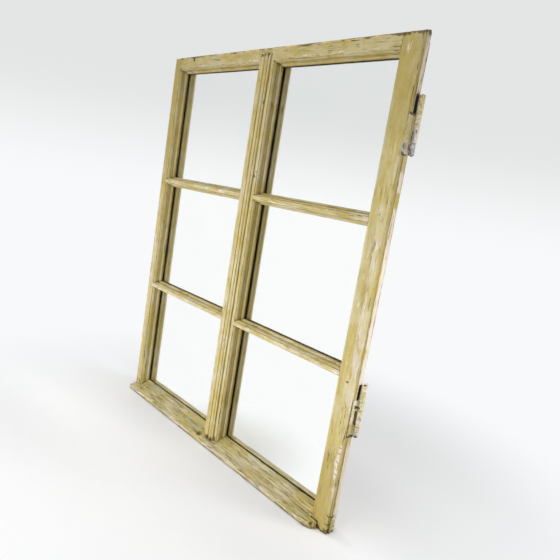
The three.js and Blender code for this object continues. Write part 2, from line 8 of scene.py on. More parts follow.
import bmesh
import bpy
import numpy as np
from mathutils import Matrix, Vector


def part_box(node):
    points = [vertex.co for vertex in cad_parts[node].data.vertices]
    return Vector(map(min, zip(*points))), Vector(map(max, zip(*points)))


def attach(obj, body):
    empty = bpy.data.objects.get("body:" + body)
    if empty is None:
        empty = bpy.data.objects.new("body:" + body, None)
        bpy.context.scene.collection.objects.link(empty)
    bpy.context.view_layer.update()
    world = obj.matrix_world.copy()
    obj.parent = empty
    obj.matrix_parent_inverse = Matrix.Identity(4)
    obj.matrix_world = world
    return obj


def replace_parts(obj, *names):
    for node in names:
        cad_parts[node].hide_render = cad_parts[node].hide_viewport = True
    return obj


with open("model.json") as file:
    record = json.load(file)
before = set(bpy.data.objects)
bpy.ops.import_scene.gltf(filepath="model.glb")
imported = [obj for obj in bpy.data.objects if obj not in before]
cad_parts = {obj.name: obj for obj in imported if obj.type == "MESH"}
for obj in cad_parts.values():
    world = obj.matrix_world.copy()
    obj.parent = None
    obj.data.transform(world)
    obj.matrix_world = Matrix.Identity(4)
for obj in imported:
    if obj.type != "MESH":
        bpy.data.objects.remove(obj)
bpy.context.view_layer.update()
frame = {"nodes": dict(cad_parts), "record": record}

MM = 0.001
SASH = "sash"
BARS = [f"{row}_bar_{side}" for side in ("left", "right") for row in ("lower", "upper")]
PANES = [name for name in frame["nodes"] if name.startswith("mirror_")]
LEAVES = [name for name in frame["nodes"] if name.endswith("_leaf")]
BODY_OF = {node: body for body, nodes in frame["record"]["behaviour"]["bodies"].items()
           for node in nodes}

# The sash's outer faces. Its own millimetres, which the wear below is placed in, run from
# the meeting stile's front face to the hanging stile's outer edge, from the front face
# back, and from the ground up.
RIGHT_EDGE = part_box("hanging_stile")[1].x
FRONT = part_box("top_rail")[0].y
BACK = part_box("top_rail")[1].y
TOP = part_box("top_rail")[1].z
SASH_WIDTH = 980 * MM
SASH_ORIGIN = np.array([RIGHT_EDGE - SASH_WIDTH, FRONT, 0.0])

# Where the panes' front lies, and the lip that the hanging stile keeps in front of its
# rebate: its depth, and how far it reaches past the part behind it.
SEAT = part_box(PANES[0])[0].y
LIP = 28 * MM
LIP_REACH = 12 * MM

# How far the top edge rises towards its back, how far down the rise is felt, and how round
# the top outer corner is worn.
TOP_RISE = 11 * MM
RISE_DEPTH = 12 * MM
CORNER_RADIUS = 15 * MM


# ---- Numbers ------------------------------------------------------------------------

def srgb(red, green, blue):
    """A colour given as it looks on screen, 0 to 255, as Blender's linear RGBA."""
    parts = [value / 255 for value in (red, green, blue)]
    linear = [p / 12.92 if p < 0.04045 else ((p + 0.055) / 1.055) ** 2.4 for p in parts]
    return (*linear, 1.0)


def smooth_noise(points, seed):
    """Random values from -1 to 1 that change smoothly over one unit of distance."""
    cell = np.floor(points).astype(np.int64)
    part = points - cell
    ease = part * part * (3 - 2 * part)
    total = np.zeros(len(points))
    for corner in itertools.product((0, 1), repeat=3):
        lattice = (cell + corner) * (73856093, 19349663, 83492791)
        mixed = (lattice[:, 0] ^ lattice[:, 1] ^ lattice[:, 2] ^ (seed * 2654435761)) & 0xFFFFFFFF
        mixed = ((mixed ^ (mixed >> 15)) * 2246822519) & 0xFFFFFFFF
        mixed = ((mixed ^ (mixed >> 13)) * 3266489917) & 0xFFFFFFFF
        weight = np.prod(np.where(corner, ease, 1 - ease), axis=1)
        total += weight * (mixed / 0x7FFFFFFF - 1)
    return total


def ramp(value, low, high):
    """0 below low, 1 above high, and smooth between them."""
    share = np.clip((value - low) / (high - low), 0, 1)
    return share * share * (3 - 2 * share)


def within(value, low, high, soft):
    """1 between two ends and 0 outside them, with soft borders."""
    return ramp(value, low - soft, low + soft) * ramp(-value, -high - soft, soft - high)


# ---- Wear and painted shade, listed one by one ---------------------------------------

# Where the finish differs from what its noise alone would give: the kind of mark, then its
# reach across the sash, from front to back and up it, in the sash's millimetres, and how
# strong it is. Pale is the ground showing through; grime is brown dirt, and in hollows and
# gaps painted shade; soot is nearly black with a crisp border: dark cracks and holes, and
# painted shade in deep pockets and cavities; cool is the greenish undercoat on wood and grey
# metal on iron; gold is thick yellow paint, and in the hanging stile's cove a darker, yellower
# tone that is partly painted shade.
MARKS = {
    "hanging_stile": [
        ("pale", (976, 990), (13, 60), (838, 880), 1.3),
        ("pale", (976, 990), (13, 60), (470, 800), 1.5),
        ("pale", (976, 990), (13, 60), (1050, 1174), 1.1),
        ("pale", (976, 990), (13, 60), (330, 470), 1.2),
        ("pale", (976, 990), (15, 60), (30, 260), 0.95),
        # Partly painted shade: the cove along the lip's side, a darker, yellower band.
        ("gold", (976, 990), (1, 12), (560, 1120), 0.75),
        ("gold", (976, 990), (12, 60), (800, 838), 0.8),
        ("grime", (976, 990), (-5, 12), (1120, 1180), 0.3),
        ("grime", (926, 985), (-5, 30), (1168, 1190), 1.0),
        ("grime", (976, 990), (-5, 4), (850, 860), 0.7),
        # Painted shade: the pockets beside the hinges' upper knuckles, darkened nearly black.
        ("soot", (940, 979), (11, 43), (1003, 1051), 1.8),
        ("soot", (940, 979), (11, 43), (341, 391), 1.7),
        # Partly painted shade: the cove along the lip's side over its full length, a darker, yellower
        # band with a brown line in its hollow.
        ("gold", (976, 990), (5, 12.5), (60, 1174), 0.9),
        ("grime", (976, 990), (9.5, 12.5), (60, 1174), 0.5),
        ("grime", (953.5, 959), (-5, 2), (382, 388), 1.3),
        *(("soot", (966, 979), (-5, 5), (z, z + 1.6), 1.25) for z in (160, 175, 190, 211, 228)),
        ("soot", (970, 990), (-5, 22), (45, 48.5), 1.3),
        ("gold", (968, 990), (-5, 24), (-5, 44), 0.7),
        ("cool", (968, 990), (-5, 24), (-5, 44), 0.8),
        ("grime", (974, 990), (-5, 12), (4, 30), 0.75),
        ("soot", (968, 984), (-5, 8), (22, 25.5), 1.3),
        ("soot", (977, 990), (7, 10), (3, 46), 1.3),
        ("soot", (977, 990), (18, 30), (14, 17), 1.3),
        # The lip's back edge is darker, from a third of the way up to the top.
        ("grime", (970, 990), (25.5, 60), (420, 1174), 0.6),
        ("grime", (930, 990), (-5, 50), (-5, 7), 0.8),
        ("pale", (965, 990), (-5, 2), (475, 508), 1.0),
        ("pale", (966, 980), (-5, 2), (325, 470), 0.75),
        ("pale", (966, 977), (-5, 3), (138, 232), 1.0),
        ("pale", (968, 984), (-5, 8), (92, 128), 0.7),
        ("pale", (957, 967), (-5, 2), (400, 735), 0.85),
        ("grime", (954, 957), (-5, 2), (540, 735), 0.5),
        ("pale", (951, 962), (-5, 2), (318, 330), 0.8),
        ("pale", (952, 962), (-5, 2), (790, 808), 0.7),
        ("pale", (944, 960), (-5, 2), (1125, 1160), 0.6),
        ("grime", (953, 963), (-5, 2), (690, 730), 0.35),
        ("cool", (950, 958), (-5, 2), (560, 640), 0.5),
        ("cool", (930, 940), (-5, 2), (780, 980), 0.6),
        ("cool", (930, 938), (-5, 2), (200, 330), 0.4),
        ("gold", (932, 950), (-5, 2), (90, 1010), 0.3),
        ("grime", (930, 962), (-5, 2), (2, 16), 0.45),
        # The whole stile is darker and yellower towards its foot.
        ("gold", (926, 990), (-5, 14), (-5, 200), 0.85),
        ("gold", (926, 985), (-5, 3), (950, 1180), 0.6),
        ("grime", (926, 970), (-5, 2), (-5, 150), 0.15),
        ("pale", (938, 976), (-5, 2), (380, 760), 0.3),
    ],
    "meeting_stile": [
        ("pale", (28, 44), (5, 12), (90, 1100), 0.3),
        ("gold", (-5, 30), (-5, 3), (750, 1180), 0.75),
        ("pale", (2, 18), (-5, 2), (160, 820), 0.5),
        ("pale", (-2, 4), (-5, 6), (60, 1174), 0.35),
        ("gold", (16, 28), (-5, 2), (60, 1100), 0.4),
        ("grime", (-2, 30), (-5, 6), (28, 42), 0.6),
    ],
    "mullion": [
        ("soot", (500, 506), (-5, 3), (822, 828), 1.4),
        ("soot", (503, 508), (-5, 3), (838, 842), 1.3),
        ("pale", (450, 458), (-5, 2), (150, 1000), 0.4),
        ("grime", (448, 509), (-5, 2), (18, 34), 0.6),
    ],
    "mullion_cover_strip": [
        ("pale", (458, 464), (-20, 2), (120, 900), 0.5),
        ("pale", (480, 489), (-20, 2), (200, 700), 0.35),
        ("grime", (458, 498), (-20, 2), (15, 30), 0.9),
        ("grime", (458, 498), (-20, 2), (1150, 1160), 0.8),
    ],
    "top_rail": [
        ("soot", (107, 114), (-5, 3), (1158, 1178), 1.3),
        ("gold", (-5, 960), (-5, 3), (1141, 1180), 0.35),
        ("grime", (-5, 960), (-5, 24), (1171, 1180), 0.75),
        ("pale", (60, 900), (-5, 2), (1141, 1146), 0.5),
    ],
    "bottom_rail": [
        ("cool", (-5, 960), (-30, 32), (0, 45), 0.1),
        ("cool", (330, 430), (-20, 20), (12, 50), 0.9),
        ("cool", (885, 915), (-20, 10), (8, 40), 0.9),
        ("grime", (425, 448), (-20, 0), (8, 40), 0.75),
        ("grime", (440, 520), (-14, 0), (10, 40), 0.35),
        ("grime", (922, 954), (-3.5, 4), (3, 40), 1.0),
        ("grime", (936, 944), (-24, -4), (4, 20), 0.6),
        ("pale", (-5, 960), (-30, -22), (3, 12), 0.75),
        ("grime", (-5, 960), (-30, -20), (-1, 2.5), 0.8),
        ("pale", (-5, 12), (-30, 3), (2, 30), 0.5),
        ("cool", (-5, 20), (-30, 3), (2, 18), 0.5),
    ],
    "upper_hinge_sash_leaf": [
        ("gold", (976, 983), (2, 26), (944, 1002), 0.6),
        ("cool", (982, 996), (18, 34), (915, 950), 1.0),
        ("pale", (989, 996), (18, 34), (915, 948), 0.6),
        ("pale", (990, 996), (18, 34), (985, 1010), 0.7),
        ("cool", (976, 983), (1, 13), (915, 944), 1.0),
        ("grime", (976, 983), (0, 20), (914, 924), 1.0),
        ("grime", (976, 983), (1, 24), (1002, 1012), 0.9),
    ],
    "upper_hinge_frame_leaf": [
        ("grime", (982, 996), (18, 34), (1006, 1050), 0.28),
        ("cool", (981, 990), (18, 34), (940, 972), 1.0),
        ("grime", (981, 985), (18, 34), (952, 972), 0.7),
        ("pale", (990, 996), (18, 34), (940, 985), 0.7),
    ],
    "lower_hinge_sash_leaf": [
        # Painted shade: the cavities between the leaf and the barrel, and a notch above them,
        # darkened nearly black.
        ("soot", (981, 990), (15.5, 26), (287, 321), 1.5),
        ("soot", (978, 990), (13, 26), (327, 333), 1.5),
        ("pale", (976, 983), (2, 20), (334, 350), 0.7),
        ("pale", (976, 983), (8, 15), (300, 342), 0.7),
        ("gold", (976, 983), (3, 26), (262, 292), 0.8),
        ("grime", (976, 983), (2, 5.6), (262, 345), 0.3),
        ("grime", (976, 996), (0, 50), (253, 262), 1.0),
        ("grime", (976, 984), (20, 34), (324, 338), 1.0),
        ("cool", (984, 996), (18, 34), (256, 286), 0.6),
    ],
    "lower_hinge_frame_leaf": [
        ("pale", (982, 996), (18, 34), (372, 390), 0.9),
        ("pale", (986, 996), (18, 34), (283, 325), 0.6),
        # Painted shade: the cavity on the left of the third knuckle from the top.
        ("grime", (976, 986), (18, 34), (283, 325), 0.9),
        ("grime", (986, 996), (18, 34), (300, 312), 0.5),
    ],
}

# The column that each kind of mark is stored in; soot is strong grime, and both hold dirt and
# painted shade. A mark's border is ragged by one distance and fades out over another, in
# millimetres across the sash, back and up, and in a narrow mark over no more than a share of
# its width.
PALE_COLUMN, GRIME_AND_SHADE_COLUMN, COOL_COLUMN, GOLD_COLUMN = COLUMNS = range(4)
COLUMN_OF = {"pale": PALE_COLUMN, "grime": GRIME_AND_SHADE_COLUMN, "soot": GRIME_AND_SHADE_COLUMN,
             "cool": COOL_COLUMN, "gold": GOLD_COLUMN}
RAGGEDNESS = (1.5, 1.5, 5.0)
SOFT_BORDER = (4.0, 4.0, 25.0)
SOOT_AND_SHADE_BORDER = (1.0, 1.0, 1.0)
NARROW_SHARE = 0.3

# All along the mouldings the paint in the recess is darker and yellower, partly as painted
# shade, and the fronts of the glazing bars are rubbed paler, those of the lower row the most.
MOULDED = ["meeting_stile", "hanging_stile", "mullion", "top_rail"]
RECESS_GOLD_AND_SHADE = 0.4
BAR_PALENESS = {bar: 0.4 if bar.startswith("lower") else 0.3 for bar in BARS}

# Heights of the sash, in millimetres, where the wear is finer than the cells, and the size
# of the cells there.
FINE_REACHES = {"hanging_stile": [(0.5, 52), (136, 234), (380, 391), (1156, 1173)]}
FINE_CELL = 1.4 * MM

# Where the timber is broken or swollen: a box in the sash's millimetres, the height of the
# lumps and how far apart they lie.
LUMPS = {
    "bottom_rail": [(((922, 960), (-30, 2), (-2, 22)), 3.0, 9),
                    (((-4, 8), (-30, 2), (-2, 14)), 2.0, 7)],
    "hanging_stile": [(((925, 985), (-3, 48), (-2, 12)), 3.0, 8),
                      (((965, 985), (-3, 24), (8, 52)), 3.0, 9),
                      (((970, 985), (-3, 48), (1150, 1176)), 1.6, 7)],
    "mullion_cover_strip": [(((455, 500), (-20, 2), (14, 26)), 2.2, 6)],
}
LUMP_BORDER = 3


def marks_at(node, points, seed):
    """How strongly each kind of mark shows at each point, one column for each kind."""
    place = (points - SASH_ORIGIN) / MM
    ragged = np.stack([smooth_noise(points / 0.011, seed + i) for i in range(3)], axis=1)
    place = place + ragged * RAGGEDNESS
    across, depth, _ = place.T
    strength = np.zeros((len(points), len(COLUMNS)))
    if node in MOULDED:
        recess = ramp(depth, 2, 5) * ramp(-depth, -31, -29)
        strength[:, GOLD_COLUMN] = RECESS_GOLD_AND_SHADE * recess * ramp(-across, -975, -970)
    if node in BARS:
        strength[:, PALE_COLUMN] = BAR_PALENESS[node] * ramp(-depth, -3, -1)
    for kind, *reach, most in MARKS.get(node, ()):
        inside = np.full(len(points), most)
        borders = SOOT_AND_SHADE_BORDER if kind == "soot" else SOFT_BORDER
        for value, (low, high), border in zip(place.T, reach, borders):
            inside *= within(value, low, high, min(border, NARROW_SHARE * (high - low)))
        column = COLUMN_OF[kind]
        strength[:, column] = np.maximum(strength[:, column], inside)
    return strength


def keep_marks(mesh, strength):
    """Stores the marks on a mesh's vertices for its material to read."""
    stored = mesh.color_attributes.new("marks", "FLOAT_COLOR", "POINT")
    stored.data.foreach_set("color", strength.astype(np.float32).ravel())


# ---- Meshes -------------------------------------------------------------------------

def cut_across(bm, axis, places):
    """Cuts the mesh by a plane at each place along an axis, halving the list each time."""
    normal = Vector((axis == 0, axis == 1, axis == 2))
    touching = 1e-6

    def cut(faces, places):
        if not places or not faces:
            return
        half = len(places) // 2
        at = places[half]
        crossing, below, above = [], [], []
        for face in faces:
            reach = [v.co[axis] for v in face.verts]
            if max(reach) < at + touching:
                below.append(face)
            elif min(reach) > at - touching:
                above.append(face)
            else:
                crossing.append(face)
        if crossing:
            edges = {edge for face in crossing for edge in face.edges}
            verts = {vert for face in crossing for vert in face.verts}
            done = bmesh.ops.bisect_plane(bm, geom=[*crossing, *edges, *verts], dist=1e-7,
                                          plane_co=normal * at, plane_no=normal)
            for face in (g for g in done["geom"] if isinstance(g, bmesh.types.BMFace)):
                side = below if face.calc_center_median()[axis] < at else above
                side.append(face)
        cut(below, places[:half])
        cut(above, places[half + 1:])

    cut(list(bm.faces), places)


def stations(low, high, step):
    """Evenly spaced places between two ends."""
    count = max(1, round((high - low) / step))
    return [low + (high - low) * i / count for i in range(1, count)]


def runs_along(edge, axis):
    """Whether an edge between two faces lies along one axis."""
    direction = (edge.verts[1].co - edge.verts[0].co).normalized()
    return abs(direction[axis]) > 0.99 and len(edge.link_faces) == 2


def bevel_arrises(bm, along, width):
    """Rounds the sharp outward edges that run along one axis."""
    arrises = [edge for edge in bm.edges if runs_along(edge, along)
               and edge.calc_face_angle_signed(0) > math.radians(40)]
    bmesh.ops.bevel(bm, geom=arrises, offset=width, segments=2, profile=0.5,
                    affect="EDGES", clamp_overlap=False)


def rounded_corner(points, first, second, radius):
    """Pulls the points beyond a rounded outer corner back onto it. Each side is given by
    its axis and where it lies."""
    (a, at_a), (b, at_b) = first, second
    over_a = points[:, a] - (at_a - radius)
    over_b = points[:, b] - (at_b - radius)
    reach = np.hypot(over_a, over_b)
    outside = (over_a > 0) & (over_b > 0) & (reach > radius)
    shrink = radius / np.where(outside, reach, 1)
    points[outside, a] = (at_a - radius + over_a * shrink)[outside]
    points[outside, b] = (at_b - radius + over_b * shrink)[outside]


def rise_to_back(moved, points):
    """Lifts the top edge of the sash towards its back, as the bevel there does."""
    at_top = ramp(points[:, 2], TOP - RISE_DEPTH, TOP)
    moved[:, 2] += at_top * np.clip(points[:, 1] - FRONT, 0, LIP) / LIP * TOP_RISE


def end_stations(low, high, step):
    """Evenly spaced places, with closer ones near the two ends."""
    close, clear = [2 * MM, 5 * MM, 9 * MM], 12 * MM
    inner = [p for p in stations(low, high, step) if low + clear < p < high - clear]
    return [low + c for c in close] + inner + [high - c for c in reversed(close)]


def with_fine_reaches(places, reaches, step):
    """The same places, but packed closely within each reach."""
    fine = [p for low, high in reaches for p in stations(low * MM, high * MM, step)]
    kept = [p for p in places if all(not low * MM <= p <= high * MM for low, high in reaches)]
    return sorted(kept + fine)


def cut_into_cells(bm, node, along, cell, across):
    """Cuts a member into cells, closer ones at its ends and where it is broken."""
    low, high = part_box(node)
    places = end_stations(low[along], high[along], cell)
    cut_across(bm, along, with_fine_reaches(places, FINE_REACHES.get(node, ()), FINE_CELL))
    for axis in (a for a in range(3) if a != along):
        cut_across(bm, axis, stations(low[axis], high[axis], across))


def lumps_at(node, points, seed):
    """How far the broken and swollen places stand out at each point."""
    total = np.zeros(len(points))
    for box, height, size in LUMPS.get(node, ()):
        inside = np.ones(len(points))
        for axis, (low, high) in enumerate(box):
            value = (points[:, axis] - SASH_ORIGIN[axis]) / MM
            inside *= within(value, low, high, LUMP_BORDER)
        total += inside * (smooth_noise(points / (size * MM), seed) - 0.3) * height * MM
    return total


def worn_copy(node, along, seed, cell, across, width, wobble, wear, furrow=0.0):
    """A CAD node as a new, finer mesh: cut into cells, its arrises rounded and worn, its
    faces brushed uneven and, on weathered wood, furrowed along the grain."""
    bm = bmesh.new()
    bm.from_mesh(frame["nodes"][node].data)
    bmesh.ops.remove_doubles(bm, verts=bm.verts, dist=1e-5)
    bmesh.ops.dissolve_limit(bm, angle_limit=0.01, verts=bm.verts, edges=bm.edges)
    bevel_arrises(bm, along, width)
    cut_into_cells(bm, node, along, cell, across)
    bm.normal_update()
    points = np.array([v.co for v in bm.verts])
    normals = np.array([v.normal for v in bm.verts])
    sharp = np.array([max((edge.calc_face_angle_signed(0) for edge in v.link_edges
                           if runs_along(edge, along)), default=0) for v in bm.verts])
    # The unevenness is drawn out along the grain, and the furrows much more. Broad hollows,
    # brush marks, chips and furrows have sizes of their own, in metres.
    stretch, grain = np.ones(3), np.ones(3)
    stretch[along], grain[along] = 0.35, 0.06
    broad = smooth_noise(points / 0.045 * stretch, seed) * wobble
    fine = smooth_noise(points / 0.009 * stretch, seed + 1) * wobble * 0.6
    chipped = ramp(smooth_noise(points / 0.016 * stretch, seed + 2), 0.15, 0.75)
    ridge = smooth_noise(points / 0.0034 * grain, seed + 3)
    lost = ramp(-ridge, 0.1, 0.8) * furrow
    edge = ramp(sharp, 0.3, 0.7)
    strength = marks_at(node, points, seed + 4)
    push = broad + fine - lost - edge * (chipped * wear + wobble)
    push -= ramp(strength[:, GRIME_AND_SHADE_COLUMN], 0.5, 1.0) * MM
    push += lumps_at(node, points, seed + 5)
    moved = points + normals * push[:, None]
    rise_to_back(moved, points)
    if node == "hanging_stile":
        lip = points[:, 0] > RIGHT_EDGE - LIP_REACH + MM
        for part, back in ((lip, FRONT + LIP), (~lip, BACK)):
            corner = moved[part]
            rounded_corner(corner, (1, back), (2, TOP + TOP_RISE), CORNER_RADIUS)
            moved[part] = corner
    moved[:, 2] = np.maximum(moved[:, 2], 0)
    for vert, place in zip(bm.verts, moved):
        vert.co = place
    mesh = bpy.data.meshes.new(f"{node}_worn")
    bm.to_mesh(mesh)
    bm.free()
    keep_marks(mesh, strength)
    mesh.shade_smooth()
    mesh.set_sharp_from_angle(angle=math.radians(38))
    return mesh


# How lumpy the paint on a hinge is, in millimetres: on the plates, and on the barrels of each.
PLATE_LUMPS = 0.14
BARREL_LUMPS = {"upper": 0.4, "lower": 0.6}


def painted_leaf(node, seed):
    """A hinge leaf under many coats: rebuilt as one lumpy skin, its edges softened."""
    carrier = bpy.data.objects.new(f"{node}_carrier", frame["nodes"][node].data.copy())
    bpy.context.scene.collection.objects.link(carrier)
    skin = carrier.modifiers.new("skin", "REMESH")
    skin.mode = "VOXEL"
    skin.voxel_size = 0.75 * MM
    relax = carrier.modifiers.new("relax", "SMOOTH")
    relax.iterations = 2
    bpy.context.view_layer.update()
    dressed = carrier.evaluated_get(bpy.context.evaluated_depsgraph_get())
    mesh = bpy.data.meshes.new_from_object(dressed)
    mesh.name = f"{node}_painted"
    bpy.data.objects.remove(carrier)
    points = np.empty(3 * len(mesh.vertices))
    normals = np.empty(3 * len(mesh.vertices))
    mesh.vertices.foreach_get("co", points)
    mesh.vertices.foreach_get("normal", normals)
    points, normals = points.reshape(-1, 3), normals.reshape(-1, 3)
    strength = marks_at(node, points, seed)
    broad = smooth_noise(points / 0.007, seed + 5)
    fine = smooth_noise(points / 0.0022, seed + 6)
    bare = ramp(strength[:, COOL_COLUMN], 0.3, 0.8)
    on_barrel = ramp(points[:, 0], RIGHT_EDGE + 2 * MM, RIGHT_EDGE + 4 * MM)
    outward = 1 - np.abs(normals[:, 2])
    lumpy = PLATE_LUMPS + BARREL_LUMPS[node.split("_")[0]] * on_barrel * outward
    rough = 0.10 * fine * (1 + bare) * outward
    push = (lumpy * broad + rough - 0.12 * bare - 0.1 * on_barrel) * MM
    mesh.vertices.foreach_set("co", (points + normals * push[:, None]).ravel())
    keep_marks(mesh, strength)
    mesh.shade_smooth()
    return mesh


# The coats over a sash leaf, in millimetres: how far they stand off the stile and how thick
# they are, how far back they lie flat and the fillet after that, and the size of the cells.
COATS_PROUD, COATS_THICK = 1.35, 0.7
COATS_FLAT_TO, COATS_FILLET = 17.5, 4.2
COATS_CELL = 1.5


def paint_over(leaf, front, seed):
    """The coats that run on from the stile over a sash leaf and up against its barrel,
    hiding the screws: a thin closed skin with ragged ends. It starts at the given distance
    from the front face, sunk in the stile, and ends in a fillet."""
    low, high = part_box(leaf)
    foot, head = low.z - 1.5 * MM, high.z + 1.0 * MM
    section = [(front, -0.3), (front + 0.8, 0.8)]
    section += [(y, COATS_PROUD) for y in np.arange(front + COATS_CELL, COATS_FLAT_TO, COATS_CELL)]
    section += [(COATS_FLAT_TO + COATS_FILLET * math.sin(turn),
                 COATS_PROUD + COATS_FILLET * (1 - math.cos(turn)))
                for turn in np.radians([15, 30, 45, 60, 72])]
    rows = round((head - foot) / (COATS_CELL * MM))
    bm = bmesh.new()
    layers = []
    for thickness in (0.0, COATS_THICK):
        grid = []
        for i in range(rows + 1):
            z = foot + (head - foot) * i / rows
            sunk = thickness + (1.0 if i in (0, rows) else 0.0)
            grid.append([bm.verts.new((RIGHT_EDGE + (proud - sunk) * MM, FRONT + y * MM, z))
                         for y, proud in section])
        layers.append(grid)
    last = len(section) - 1
    for outer, inner in zip(*(zip(grid, grid[1:]) for grid in layers)):
        for j in range(last):
            bm.faces.new((outer[0][j], outer[0][j + 1], outer[1][j + 1], outer[1][j]))
            bm.faces.new((inner[0][j], inner[1][j], inner[1][j + 1], inner[0][j + 1]))
        for j in (0, last):
            bm.faces.new((outer[0][j], outer[1][j], inner[1][j], inner[0][j]))
    for outer, inner in ((layers[0][i], layers[1][i]) for i in (0, rows)):
        for j in range(last):
            bm.faces.new((outer[j], inner[j], inner[j + 1], outer[j + 1]))
    bmesh.ops.recalc_face_normals(bm, faces=bm.faces)
    mesh = bpy.data.meshes.new(f"{leaf}_skin")
    bm.to_mesh(mesh)
    bm.free()
    points = np.array([v.co for v in mesh.vertices])
    broad, fine = smooth_noise(points / 0.006, seed), smooth_noise(points / 0.0022, seed + 1)
    ragged = smooth_noise(points / 0.008, seed + 2)
    keep_marks(mesh, marks_at(leaf, points, seed + 3))
    points[:, 0] += (0.28 * broad + 0.15 * fine) * MM
    at_ends = 1 - ramp(np.minimum(points[:, 2] - foot, head - points[:, 2]), 0, 6 * MM)
    points[:, 2] += 2.5 * MM * ragged * at_ends
    at_front = 1 - ramp(points[:, 1], FRONT + front * MM, FRONT + 10 * MM)
    points[:, 1] += 0.8 * MM * ragged * at_front
    mesh.vertices.foreach_set("co", points.ravel())
    mesh.shade_smooth()
    return mesh


def box_mesh(name, low, high, arris):
    """A thin sheet with its edges ground off."""
    bm = bmesh.new()
    bmesh.ops.create_cube(bm, size=1)
    for vert in bm.verts:
        vert.co = [low[i] + (high[i] - low[i]) * (vert.co[i] + 0.5) for i in range(3)]
    bmesh.ops.bevel(bm, geom=bm.edges[:], offset=arris, segments=1, affect="EDGES")
    mesh = bpy.data.meshes.new(name)
    bm.to_mesh(mesh)
    bm.free()
    return mesh


def add_piece(name, mesh, body, slot, *materials):
    """A new piece of the visual model, riding on one body."""
    piece = bpy.data.objects.new(name, mesh)
    bpy.context.scene.collection.objects.link(piece)
    mesh.materials.clear()
    for material in materials:
        mesh.materials.append(material)
    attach(piece, body)
    return piece


# ---- Materials ----------------------------------------------------------------------

class Finish:
    """A material under construction: each method adds nodes and returns an output."""

    def __init__(self, name):
        self.material = bpy.data.materials.new(name)
        self.material.use_nodes = True
        self.tree = self.material.node_tree
        self.shader = self.tree.nodes["Principled BSDF"]
        coordinates = self.tree.nodes.new("ShaderNodeTexCoord")
        self.place = coordinates.outputs["Object"]

    def node(self, kind, settings=(), inputs=()):
        made = self.tree.nodes.new(kind)
        for key, value in dict(settings).items():
            setattr(made, key, value)
        for key, value in dict(inputs).items():
            self.feed(made.inputs[key], value)
        return made

    def feed(self, socket, value):
        if isinstance(value, bpy.types.NodeSocket):
            self.tree.links.new(value, socket)
        else:
            socket.default_value = value

    def set(self, **inputs):
        for key, value in inputs.items():
            self.feed(self.shader.inputs[key.replace("_", " ")], value)

    def marks(self):
        """The listed marks: how pale, how dark with grime and painted shade, how cool and how golden
        the surface is.
        """
        stored = self.node("ShaderNodeAttribute", {"attribute_name": "marks"})
        parts = self.node("ShaderNodeSeparateColor")
        self.feed(parts.inputs["Color"], stored.outputs["Color"])
        colours = [parts.outputs[name] for name in ("Red", "Green", "Blue")]
        return (*colours, stored.outputs["Alpha"])

    def noise(self, scale, along=None, stretch=1.0, detail=3.0, roughness=0.55, distortion=0.0):
        """Noise with features 1 / scale metres wide, drawn out along one axis."""
        squeeze = [1.0, 1.0, 1.0]
        if along is not None:
            squeeze[along] = stretch
        mapping = self.node("ShaderNodeMapping", inputs={"Vector": self.place, "Scale": squeeze})
        made = self.node("ShaderNodeTexNoise", inputs={
            "Vector": mapping.outputs["Vector"], "Scale": scale, "Detail": detail,
            "Roughness": roughness, "Distortion": distortion})
        return made.outputs["Fac"]

    def math(self, operation, a, b=0.0):
        made = self.node("ShaderNodeMath", {"operation": operation})
        self.feed(made.inputs[0], a)
        self.feed(made.inputs[1], b)
        return made.outputs[0]

    def add(self, *terms):
        total = terms[0]
        for term in terms[1:]:
            total = self.math("ADD", total, term)
        return total

    def times(self, a, b):
        return self.math("MULTIPLY", a, b)

    def band(self, value, low, high, to_low=0.0, to_high=1.0):
        """A smooth step between two values, which runs down where low is the higher."""
        made = self.node("ShaderNodeMapRange", {"interpolation_type": "SMOOTHSTEP"}, {
            "Value": value, "From Min": low, "From Max": high,
            "To Min": to_low, "To Max": to_high})
        return made.outputs["Result"]

    def mix(self, share, a, b):
        """Colour a at a share of 0 and colour b at 1."""
        made = self.node("ShaderNodeMix", {"data_type": "RGBA"})
        sockets = [s for s in made.inputs if s.enabled]
        for socket, value in zip(sockets, (share, a, b)):
            self.feed(socket, value)
        return next(s for s in made.outputs if s.enabled)

    def lines(self, depths, half_width):
        """1 on thin lines at the given depths behind the front face of the sash."""
        parts = self.node("ShaderNodeSeparateXYZ", inputs={"Vector": self.place})
        total = 0.0
        for depth in depths:
            past = self.math("SUBTRACT", parts.outputs["Y"], FRONT + depth * MM)
            painted_shade_away = self.math("ABSOLUTE", past)
            total = self.add(total, self.band(painted_shade_away, half_width * MM, 0.4 * half_width * MM))
        return total

    def openness(self, distance):
        """1 on an open surface, and less in a recess."""
        made = self.node("ShaderNodeAmbientOcclusion", {"samples": 8}, {"Distance": distance})
        return made.outputs["AO"]

    def bump(self, height, distance, normal=None):
        made = self.node("ShaderNodeBump", inputs={"Height": height, "Distance": distance})
        if normal is not None:
            self.feed(made.inputs["Normal"], normal)
        return made.outputs["Normal"]

    def rounded_normal(self, radius):
        return self.node("ShaderNodeBevel", {"samples": 6}, {"Radius": radius}).outputs["Normal"]

    def edges(self, radius):
        """1 at an edge, falling to 0 a radius away."""
        geometry = self.node("ShaderNodeNewGeometry")
        dot = self.node("ShaderNodeVectorMath", {"operation": "DOT_PRODUCT"})
        self.feed(dot.inputs[0], self.rounded_normal(radius))
        self.feed(dot.inputs[1], geometry.outputs["True Normal"])
        return self.band(dot.outputs["Value"], 0.995, 0.88)


# The colours of the old paint and what shows through it.
OCHRE = (214, 197, 132)
OCHRE_DEEP = (192, 173, 102)
OCHRE_BROWN = (166, 145, 80)
CREAM = (226, 216, 181)
